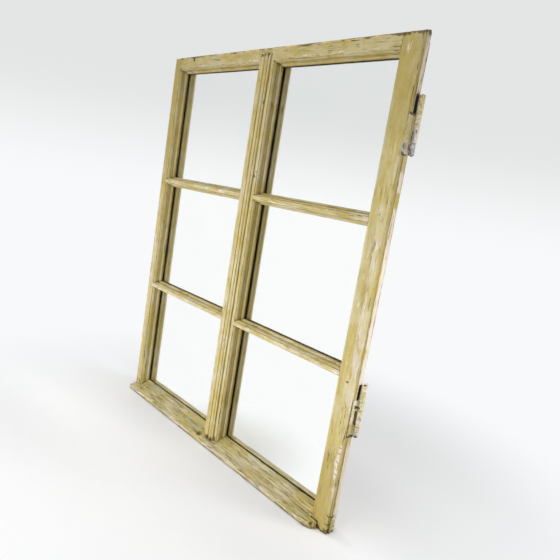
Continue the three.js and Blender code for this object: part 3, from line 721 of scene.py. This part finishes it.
# Gold is thick yellow paint; it also darkens the mouldings' recesses and the hanging stile's cove as
# painted shade.
GOLD = (178, 156, 82)
GREENISH = (192, 194, 152)
GROUND = (238, 228, 212)
GROUND_DULL = (216, 198, 178)
WOOD = (176, 146, 114)
WOOD_DARK = (136, 108, 78)
CRACK = (92, 70, 32)
# Grime is dirt, and also painted shade in recesses, quirks and cavities; soot is dark cracks and
# holes, and also painted shade in deep pockets and where the glass is seated.
GRIME_AND_SHADE = (80, 62, 30)
SOOT_AND_SHADE = (26, 19, 10)
IRON_DULL = (140, 141, 144)
IRON_BRIGHT = (216, 217, 218)
RUST = (126, 98, 78)
# Iron grime is dirt, and painted shade in the hinges' recesses.
IRON_GRIME_AND_SHADE = (62, 46, 26)

# Half the width of the dark line of dirt and painted shade in a quirk, and of the black line of
# painted shade where the glass is seated, in millimetres.
QUIRK_DIRT_AND_SHADE_LINE = 1.1
SEAT_SHADE_LINE = 1.15


def old_paint(name, along, chips=0.0, cracks=0.3, crazed=0.0, blotches=1.0, quirks=(), recess_dirt_and_shade=0.85):
    """Yellow ochre brushed on old softwood: streaked, cracked along the grain, darkened in the
    recesses with dirt and painted shade, and worn through to a pale ground and bare wood. Chips
    adds to the wear everywhere; cracks is how much of the surface has long cracks, and crazed
    how dark its fine, even ones are; blotches is how far the tone varies; quirks are the depths,
    in millimetres, of quirks that hold a line of dirt and painted shade; the last argument is
    how dark the recesses are painted with dirt and shade."""
    m = Finish(name)
    pale_mark, grime_and_shade_mark, cool_mark, gold_mark = m.marks()
    hair = m.noise(700, along, 0.04, 4, 0.6)
    streak = m.noise(190, along, 0.035, 5, 0.7)
    blotch = m.noise(62, along, 0.4, 4, 0.65, 0.4)
    cloud = m.noise(17, along, 0.6, 3, 0.6)
    paint = m.mix(m.band(streak, 0.36, 0.62), srgb(*OCHRE_DEEP), srgb(*OCHRE))
    paint = m.mix(m.band(cloud, 0.42, 0.66, 0.0, 0.7), paint, srgb(*CREAM))
    paint = m.mix(m.band(blotch, 0.5, 0.72, 0.0, 0.75 * blotches), paint, srgb(*CREAM))
    paint = m.mix(m.band(blotch, 0.46, 0.3, 0.0, 0.7 * blotches), paint, srgb(*OCHRE_BROWN))
    paint = m.mix(m.band(hair, 0.46, 0.34, 0.0, 0.6), paint, srgb(*OCHRE_BROWN))
    green = m.noise(38, along, 0.5, 3, 0.6, 0.8)
    greenish = m.band(m.add(green, m.times(cool_mark, 0.22)), 0.58, 0.76, 0.0, 0.7)
    paint = m.mix(greenish, paint, srgb(*GREENISH))
    paint = m.mix(m.times(gold_mark, m.band(streak, 0.3, 0.6, 0.6, 1.0)), paint, srgb(*GOLD))

    crack_lines = m.band(m.noise(290, along, 0.07, 3, 0.6, 0.4), 0.60 - 0.06 * cracks, 0.64)
    cracked = m.noise(30, along, 0.5, 3, 0.6)
    crack = m.times(crack_lines, m.band(cracked, 0.62 - 0.36 * cracks, 0.72 - 0.32 * cracks))
    if crazed:
        contour = m.math("ABSOLUTE", m.add(m.noise(180, along, 0.045, 3, 0.6, 0.6), -0.5))
        fine = m.times(m.band(contour, 0.034, 0.014), m.band(blotch, 0.3, 0.6, 0.4, crazed))
        crack = m.math("MAXIMUM", crack, fine)

    open_air = m.openness(0.012)
    outward = m.times(m.edges(0.0024), m.band(open_air, 0.7, 0.9))
    patch = m.noise(95, along, 0.18, 5, 0.7, 0.3)
    rub = m.add(patch, m.times(outward, 0.17), m.times(pale_mark, 0.26), chips)
    worn = m.band(rub, 0.655, 0.70)
    deep = m.band(rub, 0.95, 1.0)
    ground = m.mix(m.band(streak, 0.38, 0.6), srgb(*GROUND_DULL), srgb(*GROUND))
    wood = m.mix(m.band(hair, 0.4, 0.6), srgb(*WOOD_DARK), srgb(*WOOD))
    colour = m.mix(m.times(worn, 0.9), paint, ground)
    colour = m.mix(m.times(deep, 0.7), colour, wood)
    colour = m.mix(m.times(crack, 0.9), colour, srgb(*CRACK))
    # Dirt and painted shade: the recesses are darkened towards grime, the more the more closed in
    # they are.
    dirt_and_shade = m.times(m.band(open_air, 0.95, 0.3), m.band(streak, 0.3, 0.62, 1.0, 0.6))
    colour = m.mix(m.times(dirt_and_shade, recess_dirt_and_shade), colour, srgb(*GRIME_AND_SHADE))
    # A dark line of dirt and painted shade along each quirk.
    if quirks:
        held = m.add(patch, m.times(pale_mark, -0.3))
        quirk_dirt_and_shade = m.times(m.lines(quirks, QUIRK_DIRT_AND_SHADE_LINE), m.band(held, 0.36, 0.54, 0.15, 0.75))
        colour = m.mix(quirk_dirt_and_shade, colour, srgb(*GRIME_AND_SHADE))
    # Dirt in patches, and painted shade where a grime mark stands for it.
    muck_and_shade = m.band(m.add(patch, m.times(grime_and_shade_mark, 0.42)), 0.62, 0.86)
    colour = m.mix(m.times(muck_and_shade, 0.85), colour, srgb(*GRIME_AND_SHADE))
    # Painted shade: a black line where the glass is seated. Strong soot marks turn nearly black too:
    # dark cracks and holes, and painted shade in deep pockets.
    seat_shade = m.lines([(SEAT - FRONT) / MM], SEAT_SHADE_LINE)
    colour = m.mix(m.math("MAXIMUM", m.band(grime_and_shade_mark, 1.1, 1.4), seat_shade), colour, srgb(*SOOT_AND_SHADE))
    height = m.add(m.times(streak, 0.6), m.times(crack, -1.0), m.times(worn, -0.5),
                   m.times(muck_and_shade, -0.4))
    m.set(Base_Color=colour, Roughness=m.band(streak, 0.3, 0.7, 0.58, 0.8),
          Normal=m.bump(height, 0.0005, m.rounded_normal(0.0007)))
    m.shader.inputs["Specular IOR Level"].default_value = 0.35
    return m.material


def bare_timber(name, along):
    """Unpainted softwood, browned with age."""
    m = Finish(name)
    ring = m.noise(420, along, 0.04, 4, 0.6)
    cloud = m.noise(11)
    colour = m.mix(m.band(ring, 0.3, 0.7), srgb(142, 110, 72), srgb(186, 152, 108))
    colour = m.mix(m.band(cloud, 0.4, 0.7, 0, 0.4), colour, srgb(128, 108, 84))
    m.set(Base_Color=colour, Roughness=m.band(ring, 0.3, 0.7, 0.7, 0.85),
          Normal=m.bump(ring, 0.0003))
    return m.material


def chipped_iron(name):
    """The sash's paint over iron, thick and lumpy, chipped to grey metal and rust, with dirt and
    painted shade darkening its recesses.
    """
    m = Finish(name)
    pale_mark, grime_and_shade_mark, cool_mark, gold_mark = m.marks()
    lump = m.noise(330, 2, 0.6, 4, 0.65)
    cloud = m.noise(70, 2, 0.6)
    patch = m.noise(130, 2, 0.45, 4, 0.65, 0.5)
    paint = m.mix(m.band(lump, 0.36, 0.62), srgb(*OCHRE_DEEP), srgb(*CREAM))
    paint = m.mix(m.band(cloud, 0.5, 0.7, 0, 0.6), paint, srgb(*GREENISH))
    paint = m.mix(m.times(gold_mark, m.band(lump, 0.3, 0.55, 0.7, 1.0)), paint, srgb(*GOLD))
    ground = m.mix(m.band(lump, 0.4, 0.6), srgb(*GROUND_DULL), srgb(*GROUND))
    worn = m.band(m.add(patch, m.times(pale_mark, 0.3)), 0.62, 0.68)
    colour = m.mix(worn, paint, ground)
    metal = m.mix(m.band(lump, 0.42, 0.6), srgb(*IRON_DULL), srgb(*IRON_BRIGHT))
    metal = m.mix(m.band(cloud, 0.52, 0.64), metal, srgb(*RUST))
    bare = m.band(m.add(patch, m.times(cool_mark, 0.3), m.times(m.edges(0.0015), 0.05)), 0.66, 0.7)
    colour = m.mix(bare, colour, metal)
    # Dirt and painted shade: the recesses are darkened, the more the more closed in they are.
    grime = m.band(m.openness(0.004), 0.5, 0.08)
    muck_and_shade = m.band(m.add(patch, m.times(grime_and_shade_mark, 0.42)), 0.64, 0.84)
    dark = m.math("MAXIMUM", grime, muck_and_shade)
    colour = m.mix(m.times(dark, 0.9), colour, srgb(*IRON_GRIME_AND_SHADE))
    height = m.add(m.times(lump, 0.8), m.times(bare, -1.0), m.times(muck_and_shade, -0.5))
    m.set(Base_Color=colour, Roughness=m.band(lump, 0.3, 0.7, 0.45, 0.7),
          Metallic=m.times(bare, 0.3), Normal=m.bump(height, 0.0005))
    return m.material


def dull_iron(name):
    """Bare iron, rubbed and a little rusty."""
    m = Finish(name)
    speck = m.noise(900, detail=4, roughness=0.6)
    colour = m.mix(m.band(speck, 0.4, 0.65), srgb(92, 88, 84), srgb(128, 112, 96))
    m.set(Base_Color=colour, Metallic=0.8, Roughness=m.band(speck, 0.3, 0.7, 0.4, 0.65),
          Normal=m.bump(speck, 0.0002))
    return m.material


def silvering(name):
    """The reflecting back of a pane, with the faintest cloudiness."""
    m = Finish(name)
    haze = m.noise(5)
    m.set(Base_Color=m.mix(haze, srgb(251, 252, 252), srgb(255, 255, 255)), Metallic=1.0,
          Roughness=m.band(haze, 0.3, 0.7, 0.0, 0.012))
    return m.material


def backing_paint(name):
    """The grey lacquer that protects the silvering from behind."""
    m = Finish(name)
    roll = m.noise(240, 2, 0.3, 4, 0.6)
    cloud = m.noise(9)
    colour = m.mix(m.band(roll, 0.35, 0.65), srgb(118, 120, 120), srgb(134, 136, 136))
    colour = m.mix(m.band(cloud, 0.45, 0.7, 0, 0.5), colour, srgb(146, 146, 142))
    m.set(Base_Color=colour, Roughness=m.band(roll, 0.3, 0.7, 0.45, 0.6),
          Normal=m.bump(roll, 0.0001))
    return m.material


def clear_glass(name):
    """Float glass, very slightly green, with a thin film of dust."""
    m = Finish(name)
    film = m.noise(9, detail=4)
    m.set(Base_Color=m.mix(film, srgb(252, 254, 253), srgb(255, 255, 255)),
          Roughness=0.0, IOR=1.5, Transmission_Weight=1.0)
    return m.material


# ---- The sash -----------------------------------------------------------------------

paint_up = old_paint("paint_upright", 2, cracks=0.25, blotches=0.65, quirks=(2.6, 12, 28))
paint_strip = old_paint("paint_strip", 2, chips=0.01, cracks=0.3, blotches=0.5, recess_dirt_and_shade=0.25)
paint_across = old_paint("paint_across", 0, cracks=0.35, quirks=(2.6, 12, 28))
paint_slope = old_paint("paint_slope", 0, cracks=0.3, blotches=0.3, crazed=0.9)
paint_bar = old_paint("paint_bar", 0, chips=0.03, cracks=0.3, quirks=(3.4, 16, 28))
timber_up = bare_timber("timber_upright", 2)
timber_across = bare_timber("timber_across", 0)
iron_paint = chipped_iron("painted_iron")
iron = dull_iron("bare_iron")
silver = silvering("silver")
backing = backing_paint("mirror_backing")
glass = clear_glass("glass")

# How each kind of member is cut up and worn: its finish, the grain's axis, the cells along
# it and across it, the rounding of its arrises, and how uneven, chipped and furrowed it is,
# all in millimetres.
WORKED = {
    "meeting_stile": (paint_up, 2, 5, 4, 0.7, 0.30, 1.5, 0.15),
    "hanging_stile": (paint_up, 2, 4, 3, 0.7, 0.35, 1.8, 0.2),
    "mullion": (paint_up, 2, 5, 4, 0.7, 0.25, 0.9, 0.1),
    "mullion_cover_strip": (paint_strip, 2, 4, 2.5, 0.6, 0.3, 0.9, 0.25),
    "top_rail": (paint_across, 0, 5, 4, 0.7, 0.30, 1.3, 0.2),
    "bottom_rail": (paint_slope, 0, 4, 1.6, 0.8, 0.45, 1.6, 0.7),
    **{bar: (paint_bar, 0, 5, 3, 0.5, 0.2, 0.9, 0.1) for bar in BARS},
}

# How far behind the stile's front face the coats over each sash leaf begin, in millimetres.
SKIN_FRONTS = {"upper_hinge_sash_leaf": 1.5, "lower_hinge_sash_leaf": 5.2}

# The silvering on the back of a pane: its thickness, the gap before it, and how far its
# edges and those of the glass are ground off.
SILVER_DEPTH = 0.15 * MM
SILVER_GAP = 0.02 * MM
SILVER_ARRIS = 0.05 * MM
GLASS_ARRIS = 0.5 * MM

for number, (node, worked) in enumerate(WORKED.items()):
    finish, along, *sizes = worked
    cell, across, width, wobble, wear, furrow = (size * MM for size in sizes)
    mesh = worn_copy(node, along, 10 * number + 1, cell, across, width, wobble, wear, furrow)
    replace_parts(add_piece(f"{node}_wood", mesh, SASH, "painted_wood", finish), node)

for number, node in enumerate(LEAVES):
    mesh = painted_leaf(node, 200 + 10 * number)
    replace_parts(add_piece(f"{node}_painted", mesh, BODY_OF[node], "painted_iron", iron_paint), node)
for number, (node, front) in enumerate(SKIN_FRONTS.items()):
    mesh = paint_over(node, front, 300 + 10 * number)
    add_piece(f"{node}_skin", mesh, SASH, "painted_iron", iron_paint)

# Each pane is a sheet of glass and its silvering, whose back face is lacquered grey.
for node in PANES:
    low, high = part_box(node)
    silver_front = high.y - SILVER_DEPTH
    glass_back = silver_front - SILVER_GAP
    sheet = box_mesh(f"{node}_sheet", low, (high.x, glass_back, high.z), GLASS_ARRIS)
    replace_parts(add_piece(f"{node}_glass", sheet, SASH, "mirror", glass), node)
    coat = box_mesh(f"{node}_coat", (low.x, silver_front, low.z), high, SILVER_ARRIS)
    add_piece(f"{node}_silver", coat, SASH, "mirror", silver, backing)
    for face in coat.polygons:
        face.material_index = int(face.normal.y > 0.5)

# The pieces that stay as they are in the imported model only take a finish.
for node, thing in frame["nodes"].items():
    if node.startswith("bead_"):
        finish = timber_up if node.endswith(("west", "east")) else timber_across
    elif node.startswith("peg_"):
        finish = timber_up
    elif node.endswith("_pin") or "_screw_" in node:
        finish = iron
    else:
        continue
    thing.data.materials.clear()
    thing.data.materials.append(finish)


# ---- Stage, light and camera --------------------------------------------------------

# The whites of the room, as they look on screen: seen straight, in the mirrors, and
# overhead. Then the two levels of grey that mottle the floor's paper, close to the sash, where
# it is brighter as painted light, and away from it, and how far the floor reaches each way,
# in metres.
BACKGROUND = (248, 249, 250)
MIRRORED = (255, 255, 255)
OVERHEAD = (228, 229, 229)
PAPER_NEAR_PAINTED_LIGHT = (249, 251)
PAPER_AWAY = (229, 232)
FLOOR_REACH = 9.0


def seen_directly(m):
    """1 for rays that the camera sees, straight or by a mirror or through glass."""
    rays = m.node("ShaderNodeLightPath")
    seen = m.math("MAXIMUM", rays.outputs["Is Camera Ray"], rays.outputs["Is Glossy Ray"])
    return m.math("MAXIMUM", seen, rays.outputs["Is Transmission Ray"])


def far_white(m):
    """The white of the room: as it is seen, and a little brighter in the mirrors."""
    straight = m.node("ShaderNodeLightPath").outputs["Is Camera Ray"]
    return m.mix(straight, srgb(*MIRRORED), srgb(*BACKGROUND))


def add_floor():
    """A pale floor with painted light and shade: its paper is a little brighter by the sash, where
    less light reaches it, and to the left, and darker away from the sash and towards the right.
    It turns into the white background farther off."""
    mesh = bpy.data.meshes.new("floor")
    sides = [(-1, -1), (1, -1), (1, 1), (-1, 1)]
    mesh.from_pydata([(x * FLOOR_REACH, y * FLOOR_REACH, 0) for x, y in sides], [], [(0, 1, 2, 3)])
    floor = bpy.data.objects.new("floor", mesh)
    bpy.context.scene.collection.objects.link(floor)
    m = Finish("floor_paper")
    parts = m.node("ShaderNodeSeparateXYZ", inputs={"Vector": m.place})
    depth = m.math("ABSOLUTE", parts.outputs["Y"])
    # Painted shade: the distance in front or behind counts in full, and the one to the right in part,
    # so the paper darkens towards the right.
    painted_shade_away = m.band(m.add(depth, m.times(parts.outputs["X"], 0.3)), 0.1, 0.4)
    near_painted_light, far_off = (m.mix(m.noise(30), *(srgb(level, level, level) for level in levels))
                     for levels in (PAPER_NEAR_PAINTED_LIGHT, PAPER_AWAY))
    m.set(Base_Color=m.mix(painted_shade_away, near_painted_light, far_off), Roughness=0.9)
    m.shader.inputs["Specular IOR Level"].default_value = 0.0
    far = m.node("ShaderNodeVectorMath", {"operation": "LENGTH"})
    m.feed(far.inputs[0], m.place)
    # In the mirrors a distance counts four times, so that the floor is white sooner.
    mirrored = m.node("ShaderNodeLightPath").outputs["Is Glossy Ray"]
    distance = m.times(far.outputs["Value"], m.add(m.times(mirrored, 3.0), 1.0))
    share = m.times(m.band(distance, 0.35, 1.3), seen_directly(m))
    white = m.node("ShaderNodeEmission", inputs={"Color": far_white(m), "Strength": 1.0})
    both = m.node("ShaderNodeMixShader")
    m.feed(both.inputs[0], share)
    m.feed(both.inputs[1], m.shader.outputs[0])
    m.feed(both.inputs[2], white.outputs[0])
    m.feed(m.tree.nodes["Material Output"].inputs["Surface"], both.outputs[0])
    mesh.materials.append(m.material)


class WorldFinish(Finish):
    """The world's own node tree, with the same methods."""

    def __init__(self, world):
        world.use_nodes = True
        self.tree = world.node_tree
        self.shader = self.tree.nodes["Background"]


def add_world():
    """An even fill, seen as a white room that is a little darker overhead."""
    world = bpy.data.worlds.new("studio")
    bpy.context.scene.world = world
    m = WorldFinish(world)
    m.set(Color=srgb(246, 248, 252), Strength=0.31)
    direction = m.node("ShaderNodeTexCoord").outputs["Generated"]
    up = m.node("ShaderNodeSeparateXYZ", inputs={"Vector": direction}).outputs["Z"]
    shade = m.mix(m.band(up, -0.05, 0.16), far_white(m), srgb(*OVERHEAD))
    room = m.node("ShaderNodeBackground", inputs={"Color": shade, "Strength": 1.0})
    choose = m.node("ShaderNodeMixShader")
    m.feed(choose.inputs[0], seen_directly(m))
    m.feed(choose.inputs[1], m.shader.outputs[0])
    m.feed(choose.inputs[2], room.outputs[0])
    m.feed(m.tree.nodes["World Output"].inputs["Surface"], choose.outputs[0])


def add_lamp(name, place, target, width, height, spread, power):
    """A softbox with a grid, which lights the sash without showing in the mirrors."""
    lamp = bpy.data.lights.new(name, "AREA")
    lamp.shape = "RECTANGLE"
    lamp.size = width
    lamp.size_y = height
    lamp.spread = math.radians(spread)
    lamp.energy = power
    thing = bpy.data.objects.new(name, lamp)
    bpy.context.scene.collection.objects.link(thing)
    thing.location = place
    thing.rotation_euler = (Vector(target) - Vector(place)).to_track_quat("-Z", "Y").to_euler()
    thing.visible_camera = False
    thing.visible_glossy = False
    thing.visible_transmission = False


# Each lamp's place and target, width and height, spread in degrees, and power in watts. The
# key lamp is low in front, the side lamp lights the hanging stile's edge from behind, and
# the overhead one gives the soft shadow on the floor.
LAMPS = {
    "key": ((0.04, -1.6, 0.38), (0.02, 0, 0.4), 1.5, 0.35, 115, 7.9),
    "side": ((1.35, 0.55, 0.52), (RIGHT_EDGE, 0, 0.55), 0.4, 0.4, 90, 2.4),
    "overhead": ((0, -0.05, 3.2), (0, -0.05, 0), 2.4, 1.2, 180, 68),
}

# The camera as it was fitted to the sash's edges in the photograph: its place, the point it
# faces, its roll in degrees and its lens in millimetres, on a sensor 36 mm wide.
CAMERA_PLACE = Vector((RIGHT_EDGE + 0.7198, FRONT - 0.9826, 0.8022))
CAMERA_TARGET = Vector((RIGHT_EDGE - 0.3041, FRONT - 0.002, 0.5675))
CAMERA_ROLL = 9.44
CAMERA_LENS = 34.71
CAMERA_SENSOR = 36.0


def add_camera():
    """Close to the hanging stile and turned a little, as the sash is usually shown."""
    data = bpy.data.cameras.new("camera")
    data.sensor_width = CAMERA_SENSOR
    data.lens = CAMERA_LENS
    camera = bpy.data.objects.new("camera", data)
    bpy.context.scene.collection.objects.link(camera)
    facing = (CAMERA_TARGET - CAMERA_PLACE).to_track_quat("-Z", "Y").to_matrix()
    turned = facing @ Matrix.Rotation(math.radians(CAMERA_ROLL), 3, "Z")
    camera.matrix_world = Matrix.Translation(CAMERA_PLACE) @ turned.to_4x4()
    bpy.context.scene.camera = camera


add_floor()
add_world()
for name, lamp in LAMPS.items():
    add_lamp(name, *lamp)
add_camera()
bpy.context.scene.view_settings.view_transform = "Standard"
